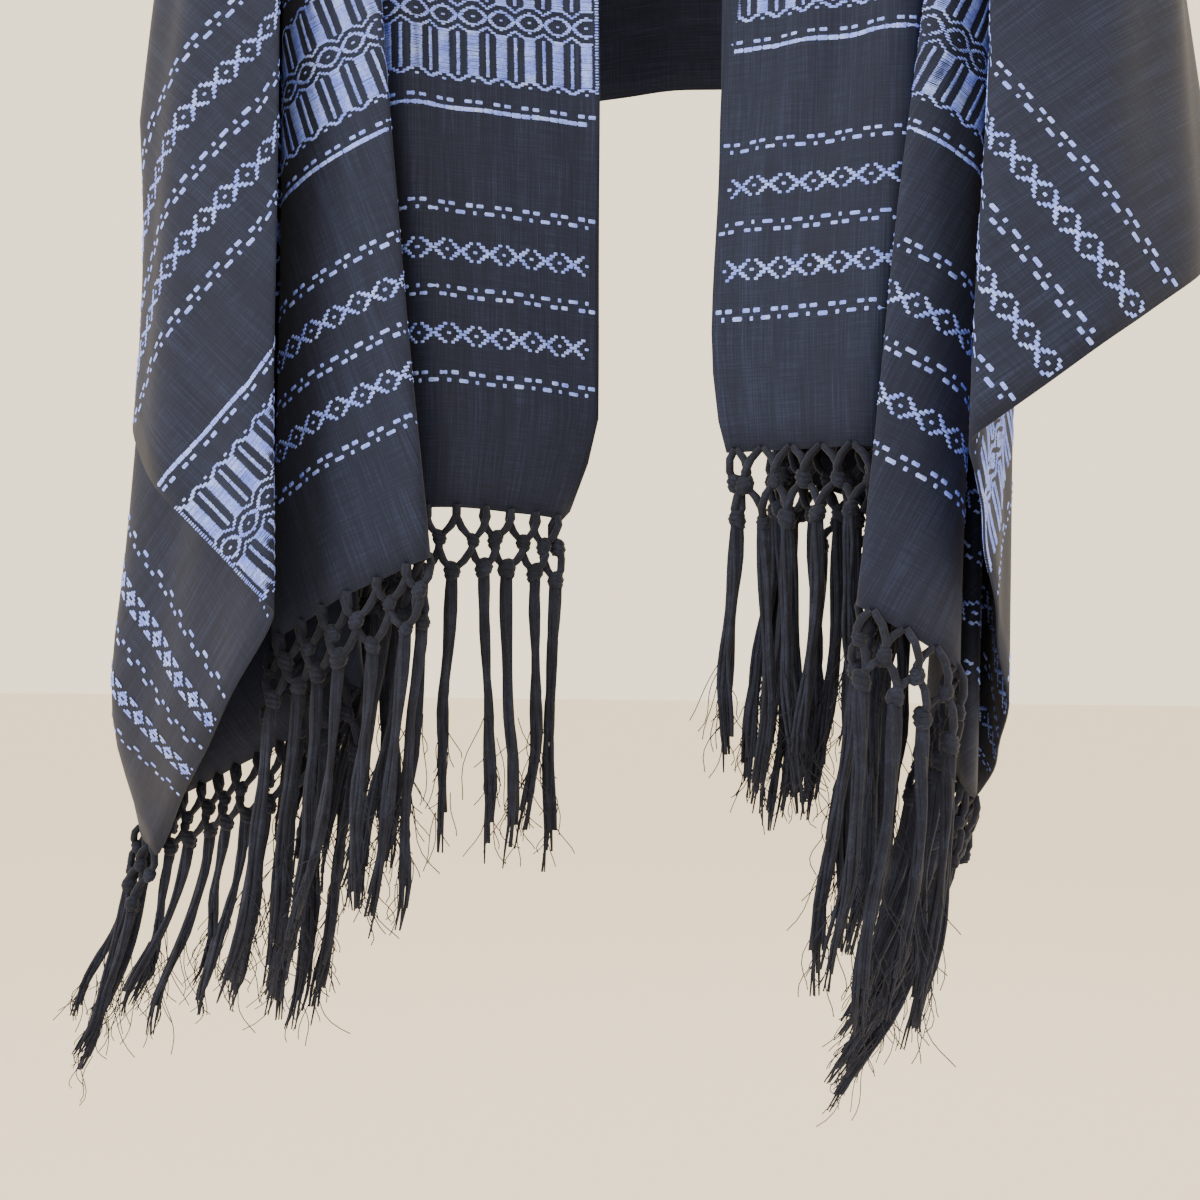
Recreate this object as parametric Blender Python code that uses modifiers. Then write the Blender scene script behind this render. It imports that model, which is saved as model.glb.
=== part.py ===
"""Rebozo shawl, one woven length with a knotted fringe at each end, hanging over a plain bar hanger.

Metres, +Z up, +X to the shawl's right end, +Y to the wall behind it. The origin is where the hook bears on its peg.

Each half of the cloth hangs as a cone: straight lines run down from the bar's tip, and the pleats are the cone's
section, given one metre below the tip. A line at angle a to the warp, r long, ends at the fringe, at the inner
selvedge or at the outer selvedge, whichever it meets first, so the hems and corners follow from the flat size.
"""

import math

import bmesh
import bpy
from mathutils import Quaternion, Vector

# ---- flat size of the cloth and of the hanger -------------------------------
CLOTH_W = 0.750          # selvedge to selvedge
FRINGE = 0.170           # knotted fringe at each end
BAR_HALF = 0.200         # half the hanger bar's length
BAR_R = 0.009            # bar radius
BAR_Z = -0.200           # bar axis below the hook's bearing point
HOOK_R = 0.020           # hook's inside radius
WIRE_R = 0.0017          # hook wire radius
STAY_R = 0.0014          # stay wire radius
STAY_X = 0.1925          # where the stays meet the bar
YOKE_Z = -0.080          # the yoke where hook and stays meet
YOKE_R = 0.008
YOKE_H = 0.018
TIP_X = 0.1825           # where each cone starts, from the bar's middle
WALL = 0.0012            # cloth wall
FACE_Y = 0.0116          # cloth's distance from the bar's axis where it hangs over it
PLEAT_R = 0.130          # the pleats begin this far below the tip
CAP_R = 0.016            # the shoulder begins this far below the tip
GAP = 0.0003             # between pieces
HEM_RISE = 0.048         # how far the back hem lifts in the middle
FRINGE_T = 0.0035        # depth of the fringe's reach
FRINGE_LEAN = {"left": (0.0, 0.0, -0.025), "right": (0.0, 0.0, 0.0)}   # inner, pleat, under
TOP_FOLD = 0.145         # turned-down top edge behind the bar
KICK_HALF = 0.09         # the right end swings forward over twice this length
TURN_HALF = 0.10         # the lowest corners swing back over twice this length

# ---- each side: length from bar to fringe, bar tip to inner selvedge, forward swing (kick) and backward swing (turn)
SIDES = {
    "left":  dict(end=0.776, inner=0.147, kick=0.0, kick_at=0.640, turn=-42.0, turn_at=0.935),
    "right": dict(end=0.764, inner=0.142, kick=15.0, kick_at=0.640, turn=-50.0, turn_at=0.930),
}

# ---- cloth drawn along or across under the folds: section row, then metres across and metres along
SHIFTS = {
    "left": ((0, 0.0, 0.009), (2.5, 0.0, 0.009), (5, 0.0, 0.006), (9, 0.0, 0.006), (13, 0.0, 0.004), (15, 0.0, 0.008),
             (16.2, 0.0, 0.015), (17, 0.0, 0.010), (18, 0.0, 0.006), (20, 0.0, 0.004), (25, 0.0, 0.0)),
    "right": ((0, 0.0, 0.0), (2.5, 0.0, 0.0), (6.5, 0.0, 0.010), (10, 0.0, 0.011), (13, 0.0, 0.0), (18, 0.0, 0.0),
              (19, 0.007, 0.041), (20.5, 0.007, 0.041), (22, 0.003, 0.020), (28, 0.0, 0.0)),
}

# ---- pleat sections, one metre below the bar: in = towards the middle, back = towards the wall,
# ---- round = corner rounding

# ---- cloth gathered small inside a hidden fold, in degrees of the cone, by section row
TUCKS = {"left": {}, "right": {5: 5.0, 13: 0.6}}

SECTIONS = {
    "left": dict(start=-16.3, rows=(
        (0.306, 0.028, 0.00),    # near the inner selvedge
        (0.225, 0.018, 0.03),
        (0.108, -0.060, 0.03),   # inner panel runs behind the pleat
        (-0.004, 0.073, 0.02),   # hidden fold
        (-0.014, 0.049, 0.02),
        (0.100, -0.070, 0.02),
        (0.119, -0.092, 0.02),   # pleat's front edge
        (0.060, -0.088, 0.02),
        (0.010, -0.063, 0.02),   # pleat's outer edge
        (0.004, -0.045, 0.02),
        (0.052, -0.043, 0.02),
        (0.052, -0.026, 0.02),
        (-0.023, -0.022, 0.02),  # under layer
        (-0.106, -0.006, 0.02),  # outer fold
        (-0.106, -0.032, 0.02),
        (0.024, -0.108, 0.02),   # folded-back layer
        (0.036, -0.124, 0.02),   # side panel's front edge
        (-0.070, -0.112, 0.04),
        (-0.124, -0.030, 0.04),  # round the side
        (-0.118, 0.040, 0.04),
        (-0.060, 0.078, 0.04),
        (0.075, 0.082, 0.02),    # folds at the back
        (0.075, 0.106, 0.02),
        (-0.055, 0.112, 0.02),
        (-0.055, 0.136, 0.02),
        (0.022, 0.140, 0.00),
    )),
    "right": dict(start=-13.6, rows=(
        (0.252, -0.011, 0.00),
        (0.230, -0.016, 0.03),
        (0.098, -0.062, 0.03),
        (0.088, -0.045, 0.02),   # hidden fold behind the inner panel
        (0.165, 0.030, 0.02),
        (0.160, 0.060, 0.02),
        (0.072, 0.075, 0.02),
        (0.085, -0.076, 0.02),
        (0.095, -0.096, 0.02),   # pleat's front edge
        (0.060, -0.090, 0.02),
        (0.036, -0.066, 0.02),   # pleat's outer edge
        (0.060, 0.030, 0.02),    # hidden folds
        (0.049, 0.036, 0.02),
        (0.040, -0.012, 0.02),
        (0.029, -0.012, 0.02),
        (0.040, 0.052, 0.02),
        (0.028, 0.056, 0.02),
        (0.014, -0.016, 0.02),   # outer fold
        (0.032, -0.128, 0.02),   # folded-back layer
        (0.040, -0.146, 0.02),   # side panel's front edge
        (-0.080, -0.128, 0.04),
        (-0.124, -0.040, 0.04),
        (-0.118, 0.040, 0.04),
        (-0.060, 0.086, 0.04),
        (0.060, 0.094, 0.02),
        (0.060, 0.112, 0.02),
        (-0.020, 0.118, 0.02),
        (-0.020, 0.138, 0.02),
        (0.022, 0.142, 0.00),
    )),
}

# ---- the shoulder over each bar tip, the outline round the pleats: in, back, round
SHOULDERS = {
    "left": ((0.306, 0.028, 0.0), (0.225, 0.015, 0.05), (0.120, -0.078, 0.05), (0.036, -0.126, 0.05), (-0.070, -0.114, 0.05),
             (-0.128, -0.030, 0.05), (-0.120, 0.060, 0.05), (-0.060, 0.130, 0.05), (0.022, 0.140, 0.0)),
    "right": ((0.252, -0.011, 0.0), (0.228, -0.018, 0.05), (0.105, -0.090, 0.05), (0.040, -0.148, 0.05), (-0.080, -0.130, 0.05),
              (-0.128, -0.040, 0.05), (-0.120, 0.060, 0.05), (-0.060, 0.130, 0.05), (0.022, 0.142, 0.0)),
}

# ---- which stretch of the section each node is: node, from row, to row
STRETCHES = {
    "left": (
        ("left_inner_panel", 0.0, 2.5),
        ("left_pleat", 2.5, 11.5),
        ("left_under_layer", 11.5, 12.7),
        ("left_folded_layer", 12.7, 14.8),
        ("left_side_panel", 14.8, 17.5),
        ("left_back_fold", 17.5, 25.0),
    ),
    "right": (
        ("right_inner_panel", 0.0, 2.5),
        ("right_pleat", 2.5, 10.5),
        ("right_under_layer", 10.5, 14.5),
        ("right_folded_layer", 14.5, 17.5),
        ("right_side_panel", 17.5, 20.5),
        ("right_back_fold", 20.5, 28.0),
    ),
}

CHARCOAL = (0.026, 0.030, 0.040)
BLUE = (0.30, 0.36, 0.72)
WOOD = (0.42, 0.28, 0.16)
STEEL = (0.62, 0.62, 0.62)


def clear_scene():
    for ob in list(bpy.data.objects):
        bpy.data.objects.remove(ob, do_unlink=True)


def material(name, colour, roughness, metallic=0.0):
    mat = bpy.data.materials.new(name)
    mat.use_nodes = True
    shader = mat.node_tree.nodes["Principled BSDF"]
    shader.inputs["Base Color"].default_value = (*colour, 1.0)
    shader.inputs["Roughness"].default_value = roughness
    shader.inputs["Metallic"].default_value = metallic
    return mat


def rounded(rows, steps=4):
    """The section's rows as a line with each corner rounded, with the row number that each point stands for."""
    points = [Vector((row[0], row[1])) for row in rows]
    line = [(points[0], 0.0)]
    for k in range(1, len(points) - 1):
        before, here, after = points[k - 1], points[k], points[k + 1]
        a, b = (before - here).length, (after - here).length
        cut_a, cut_b = min(rows[k][2], a * 0.5), min(rows[k][2], b * 0.5)
        start, end = here + (before - here) * (cut_a / a), here + (after - here) * (cut_b / b)
        for i in range(steps + 1):
            t = i / steps
            point = start * (1 - t) ** 2 + here * 2 * t * (1 - t) + end * t * t
            number = k - cut_a / a * max(0.0, 1 - 2 * t) + cut_b / b * max(0.0, 2 * t - 1)
            line.append((point, number))
    line.append((points[-1], float(len(points) - 1)))
    return line


def ray(section_point):
    return Vector((section_point[0], section_point[1], -1.0)).normalized()


class Cone:
    """One half of the cloth: rays from the bar's tip, by their angle to the warp."""

    def __init__(self, side):
        self.side = side
        self.sign = -1.0 if side == "left" else 1.0
        self.end = SIDES[side]["end"]
        self.inner = SIDES[side]["inner"]
        self.kick = math.radians(SIDES[side]["kick"])
        self.kick_at = SIDES[side]["kick_at"]
        self.turn = math.radians(SIDES[side]["turn"])
        self.turn_at = SIDES[side]["turn_at"]
        self.table = []
        angle, last, before = SECTIONS[side]["start"], None, 0.0
        for point, number in rounded(SECTIONS[side]["rows"]):
            way = ray(point)
            if last is not None:
                angle += math.degrees(last.angle(way, 0.0))
            for row, tuck in TUCKS[side].items():
                if before < row <= number:
                    angle += tuck
            self.table.append((number, angle, way))
            last, before = way, number
        self.shifts = [(self.at(row)[0], across, along) for row, across, along in SHIFTS[side]]

    def at(self, number):
        """Angle and ray at a section row number."""
        table = self.table
        for (n0, a0, w0), (n1, a1, w1) in zip(table, table[1:]):
            if number <= n1 + 1e-9:
                t = 0.0 if n1 == n0 else max(0.0, (number - n0) / (n1 - n0))
                return a0 + (a1 - a0) * t, w0.lerp(w1, t).normalized()
        return table[-1][1], table[-1][2]

    def shift(self, angle):
        """How far across and along the cloth is drawn at an angle."""
        marks = self.shifts
        if angle <= marks[0][0]:
            return marks[0][1:]
        for (a0, s0, t0), (a1, s1, t1) in zip(marks, marks[1:]):
            if angle <= a1:
                f = (angle - a0) / (a1 - a0)
                return s0 + (s1 - s0) * f, t0 + (t1 - t0) * f
        return marks[-1][1:]

    def reach(self, angle):
        """Length of the ray from the tip to the cloth's edge."""
        a = math.radians(angle)
        across, along = self.shift(angle)
        outer = CLOTH_W - self.inner - across
        options = []
        if math.cos(a) > 1e-6:
            options.append((self.end + along) / math.cos(a))
        if math.sin(a) > 1e-6:
            options.append(outer / math.sin(a))
        if math.sin(a) < -1e-6:
            options.append(self.inner / -math.sin(a))
        return min(options)

    def swing(self, r, pieces=48):
        """How far down and how far forward the cloth is, r along a ray."""
        down = forward = 0.0
        for i in range(pieces):
            m = (i + 0.5) / pieces * r
            x = max(-1.0, min(1.0, (m - self.kick_at) / KICK_HALF))
            y = max(-1.0, min(1.0, (m - self.turn_at) / TURN_HALF))
            b = self.kick * 0.5 * (1 + math.cos(math.pi * x)) + self.turn * 0.5 * (1 + math.cos(math.pi * y))
            down += math.cos(b) * r / pieces
            forward += math.sin(b) * r / pieces
        return down, forward

    def place(self, way, r, face=-1.0):
        """A point r along a ray. face -1 starts in front of the bar, +1 behind it."""
        down, forward = self.swing(r)
        p = way * down
        return Vector((self.sign * (TIP_X - p.x), face * FACE_Y + p.y - forward, BAR_Z + p.z))


def face_of(angle):
    """Where a ray starts: in front of the bar, then round its tip, then behind it."""
    t = max(0.0, min(1.0, (angle - 54.0) / 14.0))
    return -math.cos(math.pi * t)


def smooth(t):
    t = max(0.0, min(1.0, t))
    return t * t * (3 - 2 * t)


def sheet_object(name, grid, mat, wall=WALL):
    """An open grid of points as a wall, its thickness half to each side."""
    mesh = bpy.data.meshes.new(name)
    rows, cols = len(grid), len(grid[0])
    verts = [p for row in grid for p in row]
    faces = [(i * cols + j, i * cols + j + 1, (i + 1) * cols + j + 1, (i + 1) * cols + j)
             for i in range(rows - 1) for j in range(cols - 1)]
    mesh.from_pydata(verts, [], faces)
    mesh.materials.append(mat)
    ob = bpy.data.objects.new(name, mesh)
    collection.objects.link(ob)
    bm = bmesh.new()
    bm.from_mesh(mesh)
    bmesh.ops.remove_doubles(bm, verts=bm.verts, dist=1e-6)
    bm.normal_update()
    bm.to_mesh(mesh)
    bm.free()
    solid = ob.modifiers.new("wall", "SOLIDIFY")
    solid.thickness = wall
    solid.offset = 0.0
    solid.use_even_offset = False
    return ob


def levels(cone, top, bottom, turned=False):
    """Where a ray is cut into levels: at its ends, and through the swings."""
    marks = [cone.kick_at + KICK_HALF * k for k in (-1.0, -0.5, 0.0, 0.5, 1.0)] if cone.kick else []
    if turned:
        marks += [cone.turn_at + TURN_HALF * k for k in (-1.0, -0.6, -0.3, 0.0, 0.3)]
    return [top] + [min(max(m, top), bottom - 0.002 * (len(marks) - i)) for i, m in enumerate(marks)] + [bottom]


def draw_back(column, other, gap):
    """Move a seam's edge square to its own line, towards the next column, to leave a gap."""
    along = (column[-1] - column[0]).normalized()
    for j, p in enumerate(column):
        d = other[j] - p
        d -= along * d.dot(along)
        column[j] = p + d.normalized() * gap


def stretch(cone, name, first, last, mat):
    numbers = []
    for number, _, _ in cone.table:
        if first + 1e-6 < number < last - 1e-6:
            numbers.append(number)
    numbers = [first] + numbers + [last]
    longest = max(cone.reach(cone.at(number)[0]) for number in numbers)
    turned = longest > cone.turn_at - TURN_HALF * 0.9
    grid = []
    for number in numbers:
        angle, way = cone.at(number)
        grid.append([cone.place(way, r, face_of(angle)) for r in levels(cone, PLEAT_R, cone.reach(angle) - 0.0002, turned)])
    for column, other in ((0, 1), (-1, -2)):
        draw_back(grid[column], grid[other], GAP * 0.7)
    return sheet_object(name, grid, mat)


def arm_panel(cone, mat, name):
    """The inner panel's upper corner, between its first ray and the bar, down from the shoulder."""
    first_angle, first_way = cone.at(0.0)
    along = Vector((1.0, 0.0, 0.0))
    whole = first_way.angle(along)
    axis = first_way.cross(along).normalized()
    grid = []
    steps = 12
    for i in range(steps + 1):
        t = i / steps * 0.985
        angle = first_angle + (-90.0 - first_angle) * t
        way = first_way.copy()
        way.rotate(Quaternion(axis, whole * t))
        bottom = cone.reach(angle)
        grid.append([cone.place(way, r, -1.0) for r in [CAP_R] + levels(cone, PLEAT_R, max(bottom, PLEAT_R + 0.012))])
    draw_back(grid[0], grid[1], GAP * 1.2)
    return sheet_object(name, grid, mat)


def over_bar(mat):
    """The cloth lying over the bar, from the fronts to the back."""
    grid = []
    for i in range(9):
        a = math.pi * (i / 8 - 0.5)
        y, z = FACE_Y * math.sin(a), BAR_Z + GAP + FACE_Y * math.cos(a)
        grid.append([Vector((x, y, z)) for x in (-TIP_X, 0.0, TIP_X)])
    return sheet_object("over_bar", grid, mat)


def turned_top(left, right, mat):
    """The top edge, turned over the bar and hanging in front of it, with its corners folded at 45 degrees."""
    grid = []
    for drop in (0.001, TOP_FOLD * 0.5, TOP_FOLD):
        y = -FACE_Y + WALL + 2 * GAP + 0.05 * drop
        x0, x1 = -TIP_X + 0.016 + drop * (left.inner - 0.016) / TOP_FOLD, TIP_X - 0.016 - drop * (right.inner - 0.016) / TOP_FOLD
        grid.append([Vector((x0 + (x1 - x0) * t, y, BAR_Z - drop)) for t in (0.0, 0.25, 0.5, 0.75, 1.0)])
    return sheet_object("turned_top", grid, mat)


def shoulder(cone, name, mat):
    """The cloth over the bar's tip, down to where the pleats begin."""
    grid = []
    line = rounded(SHOULDERS[cone.side])
    lengths = [0.0]
    for (a, _), (b, _) in zip(line, line[1:]):
        lengths.append(lengths[-1] + (b - a).length)
    total = lengths[-1]
    for (point, _), along in zip(line, lengths):
        t = along / total
        face = -math.cos(math.pi * smooth((t - 0.30) / 0.34))
        way = ray(point)
        grid.append([cone.place(way, r, face) for r in (CAP_R, 0.05, 0.09, PLEAT_R - GAP)])
    for column, other in ((0, 1), (-1, -2)):
        for j, p in enumerate(grid[column]):
            grid[column][j] = p + (grid[other][j] - p).normalized() * GAP
    return sheet_object(name, grid, mat)


def fringe(cone, name, first, last, mat, lean=0.0):
    """The fringe's reach below a stretch of the end: a plain wall hanging straight down."""
    numbers = [first] + [n for n, _, _ in cone.table if first + 1e-6 < n < last - 1e-6] + [last]
    grid = []
    for number in numbers:
        angle, way = cone.at(number)
        r = cone.reach(angle)
        top = cone.place(way, r + 0.0045, face_of(angle))
        grid.append([top, top + Vector((lean, 0.0, -FRINGE))])
    for column, other in ((0, 1), (-1, -2)):
        for j, p in enumerate(grid[column]):
            d = grid[other][j] - p
            grid[column][j] = p + d.normalized() * (GAP + 0.0015)
    return sheet_object(name, grid, mat, FRINGE_T)


def corner_number(cone, angle_wanted, first, last):
    """Row number where the section reaches an angle."""
    lo, hi = first, last
    for _ in range(40):
        mid = (lo + hi) / 2
        if cone.at(mid)[0] < angle_wanted:
            lo = mid
        else:
            hi = mid
    return (lo + hi) / 2


def back_panel(left, right, mat):
    """The cloth across the back, from the bar down to the lower selvedge."""
    l_way = left.at(25.0)[1]
    r_way = right.at(28.0)[1]
    grid = []
    across, down = 16, 6
    for j in range(down + 1):
        row = []
        for i in range(across + 1):
            t = i / across
            arch = math.sin(math.pi * t)
            drop = (CLOTH_W - 0.5 * (left.inner + right.inner)) - HEM_RISE * arch
            r = 0.004 + (drop - 0.004) * j / down
            a, b = left.place(l_way, r, 1.0), right.place(r_way, r, 1.0)
            p = a.lerp(b, 0.002 + 0.996 * t)
            p.y += 0.006 * (r / drop) ** 2 * math.sin(5 * math.pi * t) * arch
            row.append(p)
        grid.append(row)
    return grid


def wire(name, points, radius, mat):
    curve = bpy.data.curves.new(name, "CURVE")
    curve.dimensions = "3D"
    curve.bevel_depth = radius
    curve.bevel_resolution = 2
    curve.use_fill_caps = True
    curve.materials.append(mat)
    spline = curve.splines.new("POLY")
    spline.points.add(len(points) - 1)
    for sp, p in zip(spline.points, points):
        sp.co = (*p, 1.0)
    collection.objects.link(bpy.data.objects.new(name, curve))


def main():
    global collection
    clear_scene()
    collection = bpy.data.collections.new("rebozo_shawl")
    bpy.context.scene.collection.children.link(collection)
    cloth = material("cloth", CHARCOAL, 0.85)
    brocade = material("brocade_cloth", tuple(0.5 * (a + b) for a, b in zip(CHARCOAL, BLUE)), 0.8)
    strands = material("fringe", CHARCOAL, 0.9)
    wood = material("hanger_wood", WOOD, 0.5)
    steel = material("hook_steel", STEEL, 0.3, 1.0)

    cones = {side: Cone(side) for side in SIDES}
    for side, cone in cones.items():
        for name, first, last in STRETCHES[side]:
            stretch(cone, name, first, last, brocade)
        arm_panel(cone, brocade, side + "_arm_panel")
        shoulder(cone, side + "_shoulder", cloth)
        corner = math.degrees(math.atan2(CLOTH_W - cone.inner, cone.end))
        inner_corner = -math.degrees(math.atan2(cone.inner, cone.end))
        names = {n[0].split("_", 1)[1]: n for n in STRETCHES[side]}
        n0 = corner_number(cone, inner_corner, 0.0, 3.0)
        last = len(SECTIONS[side]["rows"]) - 1
        n1 = corner_number(cone, corner, 3.0, last)
        lean = FRINGE_LEAN[side]
        fringe(cone, side + "_fringe_inner", n0, names["inner_panel"][2], strands, lean[0])
        fringe(cone, side + "_fringe_pleat", names["pleat"][1], names["pleat"][2], strands, lean[1])
        fringe(cone, side + "_fringe_under", names["under_layer"][1], n1, strands, lean[2])
    grid = back_panel(cones["left"], cones["right"], cloth)
    sheet_object("back_panel", grid, cloth)
    over_bar(cloth)
    turned_top(cones["left"], cones["right"], cloth)

    # hanger bar
    bpy.ops.mesh.primitive_cylinder_add(vertices=24, radius=BAR_R, depth=2 * BAR_HALF, location=(0, 0, BAR_Z), rotation=(0, math.pi / 2, 0))
    bar = bpy.context.active_object
    bar.name = "hanger_bar"
    bar.data.materials.append(wood)
    for c in list(bar.users_collection):
        c.objects.unlink(bar)
    collection.objects.link(bar)
    bevel = bar.modifiers.new("ends", "BEVEL")
    bevel.width = 0.002
    bevel.segments = 2
    bevel.limit_method = "ANGLE"

    # yoke, with the hook above it and a stay to each end of the bar
    bpy.ops.mesh.primitive_cylinder_add(vertices=20, radius=YOKE_R, depth=YOKE_H, location=(0, 0, YOKE_Z))
    yoke = bpy.context.active_object
    yoke.name = "hanger_yoke"
    yoke.data.materials.append(wood)
    for c in list(yoke.users_collection):
        c.objects.unlink(yoke)
    collection.objects.link(yoke)
    bevel = yoke.modifiers.new("edges", "BEVEL")
    bevel.width = 0.0015
    bevel.segments = 2
    bevel.limit_method = "ANGLE"

    centre, around = Vector((0.0, 0.0, -HOOK_R)), HOOK_R + WIRE_R
    stem = [Vector((0.0, 0.0, YOKE_Z + YOKE_H / 2 + GAP)), Vector((0.0, 0.0, centre.z - around - 0.012)), Vector((0.004, 0.0, centre.z - around - 0.003))]
    bend = [centre + Vector((around * math.cos(math.radians(a)), 0.0, around * math.sin(math.radians(a)))) for a in range(-64, 187, 14)]
    wire("hanger_hook", stem + bend, WIRE_R, steel)
    for side, sign in (("left", -1.0), ("right", 1.0)):
        foot = Vector((sign * STAY_X, 0.0, BAR_Z + BAR_R + GAP))
        eye = Vector((sign * (YOKE_R + GAP), 0.0, YOKE_Z - 0.002))
        wire("hanger_stay_" + side, [foot, foot + Vector((0, 0, 0.004)), foot.lerp(eye, 0.08) + Vector((0, 0, 0.004)), eye + Vector((sign * 0.005, 0, 0)), eye], STAY_R, steel)


main()
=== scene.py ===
"""Rebozo shawl on a plain bar hanger: woven cloth with brocade floats, and a knotted fringe at each end."""

import math

import bpy
import numpy as np
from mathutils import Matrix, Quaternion, Vector


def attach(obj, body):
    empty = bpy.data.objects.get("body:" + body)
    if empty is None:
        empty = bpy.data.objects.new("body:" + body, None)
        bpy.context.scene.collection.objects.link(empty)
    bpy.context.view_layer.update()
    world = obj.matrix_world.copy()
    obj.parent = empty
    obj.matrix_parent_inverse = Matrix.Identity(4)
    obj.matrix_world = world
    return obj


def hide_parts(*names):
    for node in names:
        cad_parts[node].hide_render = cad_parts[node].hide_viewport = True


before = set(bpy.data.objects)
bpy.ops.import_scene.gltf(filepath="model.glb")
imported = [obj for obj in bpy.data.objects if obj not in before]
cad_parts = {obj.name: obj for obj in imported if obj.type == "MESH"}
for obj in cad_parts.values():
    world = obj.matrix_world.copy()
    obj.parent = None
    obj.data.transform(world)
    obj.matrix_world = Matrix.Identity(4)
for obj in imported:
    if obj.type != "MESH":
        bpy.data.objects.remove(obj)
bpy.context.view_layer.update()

# ---- sizes, as in the CAD ----------------------------------------------------
CLOTH_W = 0.750
FRINGE = 0.170
BAR_Z = -0.200
TIP_X = 0.1825
FACE_Y = 0.0116
CAP_R = 0.013
HEM_RISE = 0.048
TOP_FOLD = 0.145
KICK_HALF = 0.09
TURN_HALF = 0.10
WALL = 0.0009            # cloth thickness that shows
TUCKS = {"left": {}, "right": {5: 5.0, 13: 0.6}}
SIDES = {
    "left": dict(end=0.776, inner=0.147, kick=0.0, kick_at=0.640, turn=-42.0, turn_at=0.935),
    "right": dict(end=0.764, inner=0.142, kick=15.0, kick_at=0.640, turn=-50.0, turn_at=0.930),
}
# cloth drawn along or across under the folds: section row, then metres across and metres along
SHIFTS = {
    "left": ((0, 0.0, 0.009), (2.5, 0.0, 0.009), (5, 0.0, 0.006), (9, 0.0, 0.006), (13, 0.0, 0.004), (15, 0.0, 0.008),
             (16.2, 0.0, 0.015), (17, 0.0, 0.010), (18, 0.0, 0.006), (20, 0.0, 0.004), (25, 0.0, 0.0)),
    "right": ((0, 0.0, 0.0), (2.5, 0.0, 0.0), (6.5, 0.0, 0.010), (10, 0.0, 0.011), (13, 0.0, 0.0), (18, 0.0, 0.0),
              (19, 0.007, 0.041), (20.5, 0.007, 0.041), (22, 0.003, 0.020), (28, 0.0, 0.0)),
}
# pleat sections one metre below the bar: in, back, rounding
SECTIONS = {
    "left": dict(start=-16.3, rows=(
        (0.306, 0.028, 0.00),
        (0.225, 0.018, 0.03),
        (0.108, -0.060, 0.03),
        (-0.004, 0.073, 0.02),
        (-0.014, 0.049, 0.02),
        (0.100, -0.070, 0.02),
        (0.119, -0.092, 0.02),
        (0.060, -0.088, 0.02),
        (0.010, -0.063, 0.02),
        (0.004, -0.045, 0.02),
        (0.052, -0.043, 0.02),
        (0.052, -0.026, 0.02),
        (-0.023, -0.022, 0.02),
        (-0.106, -0.006, 0.02),
        (-0.106, -0.032, 0.02),
        (0.024, -0.108, 0.02),
        (0.036, -0.124, 0.02),
        (-0.070, -0.112, 0.04),
        (-0.124, -0.030, 0.04),
        (-0.118, 0.040, 0.04),
        (-0.060, 0.078, 0.04),
        (0.075, 0.082, 0.02),
        (0.075, 0.106, 0.02),
        (-0.055, 0.112, 0.02),
        (-0.055, 0.136, 0.02),
        (0.022, 0.140, 0.00),
    )),
    "right": dict(start=-13.6, rows=(
        (0.252, -0.011, 0.00),
        (0.230, -0.016, 0.03),
        (0.098, -0.062, 0.03),
        (0.088, -0.045, 0.02),
        (0.165, 0.030, 0.02),
        (0.160, 0.060, 0.02),
        (0.072, 0.075, 0.02),
        (0.085, -0.076, 0.02),
        (0.095, -0.096, 0.02),
        (0.060, -0.090, 0.02),
        (0.036, -0.066, 0.02),
        (0.060, 0.030, 0.02),
        (0.049, 0.036, 0.02),
        (0.040, -0.012, 0.02),
        (0.029, -0.012, 0.02),
        (0.040, 0.052, 0.02),
        (0.028, 0.056, 0.02),
        (0.014, -0.016, 0.02),
        (0.032, -0.128, 0.02),
        (0.040, -0.146, 0.02),
        (-0.080, -0.128, 0.04),
        (-0.124, -0.040, 0.04),
        (-0.118, 0.040, 0.04),
        (-0.060, 0.086, 0.04),
        (0.060, 0.094, 0.02),
        (0.060, 0.112, 0.02),
        (-0.020, 0.118, 0.02),
        (-0.020, 0.138, 0.02),
        (0.022, 0.142, 0.00),
    )),
}
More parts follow.
